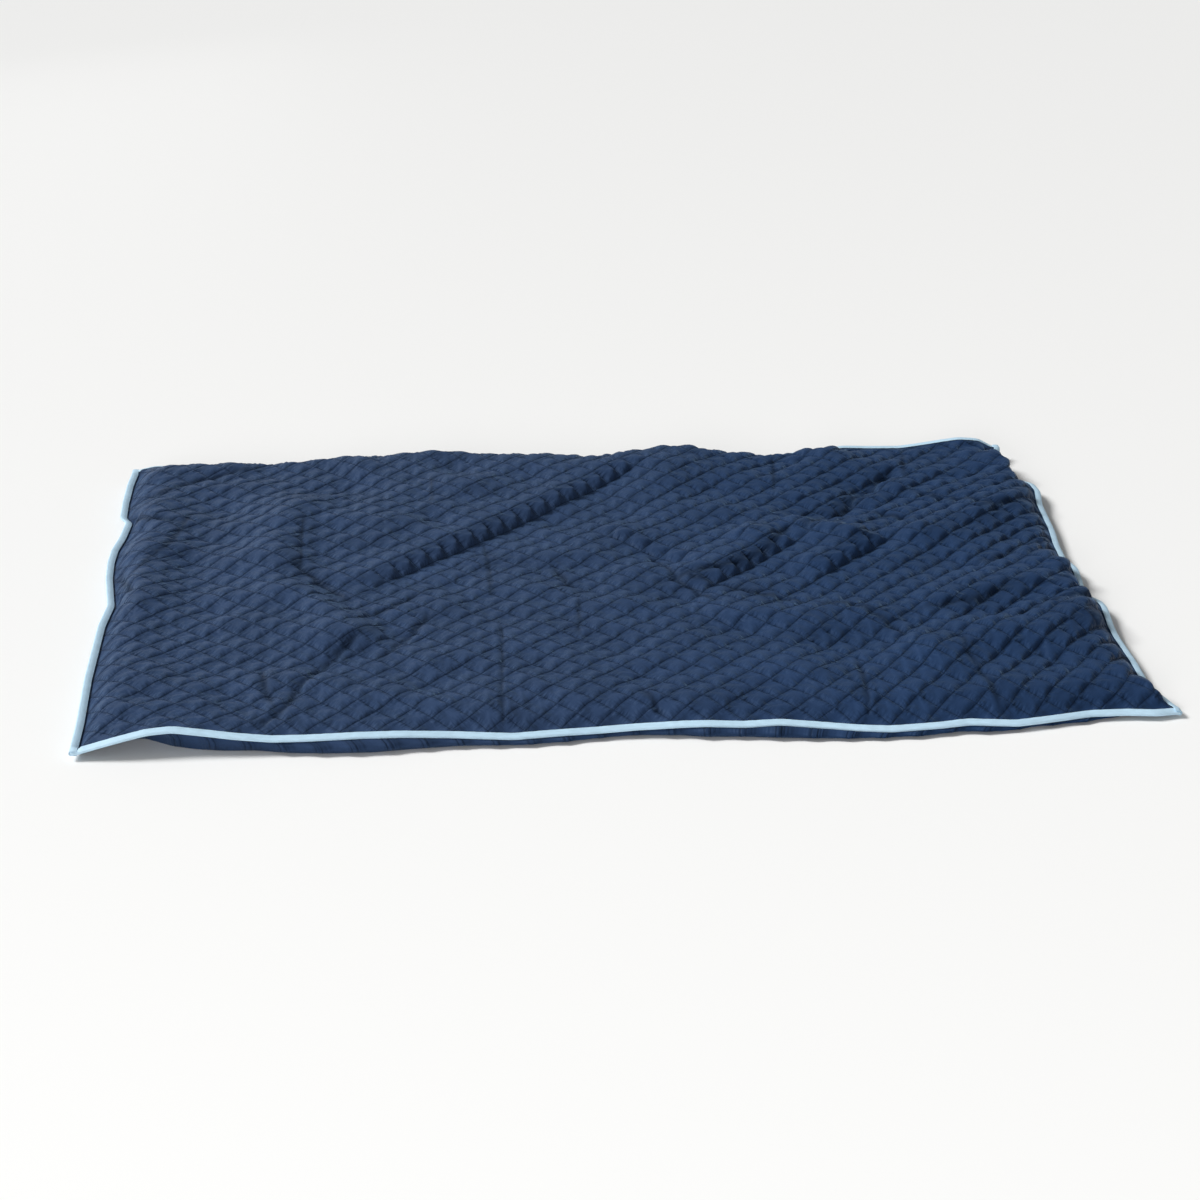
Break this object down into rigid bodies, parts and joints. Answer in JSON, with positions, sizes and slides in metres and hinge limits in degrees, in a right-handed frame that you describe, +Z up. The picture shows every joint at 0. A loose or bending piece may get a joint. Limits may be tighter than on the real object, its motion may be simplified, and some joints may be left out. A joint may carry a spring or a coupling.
{
  "type": "weighted blanket",
  "caption": "Filled, diamond-quilted weighted blanket with a folded tape binding, lying loosely spread with soft folds.",
  "frame": {"origin": "on the surface the blanket lies on, under the middle of its bounding box", "axes": "+X along the long side, +Y from the front long side to the back one, +Z up"},
  "size_m": [1.8157, 1.2518, 0.0772],
  "materials": {
    "quilted_fabric": "smooth navy microfibre with a soft satin sheen, puckered along the quilting",
    "binding_tape": "pale blue ribbed woven tape, matt"
  },
  "bodies": {
    "root": {"quilt": "quilted_fabric", "binding_front": "binding_tape", "binding_back": "binding_tape", "binding_left": "binding_tape", "binding_right": "binding_tape"}
  },
  "joints": []
}
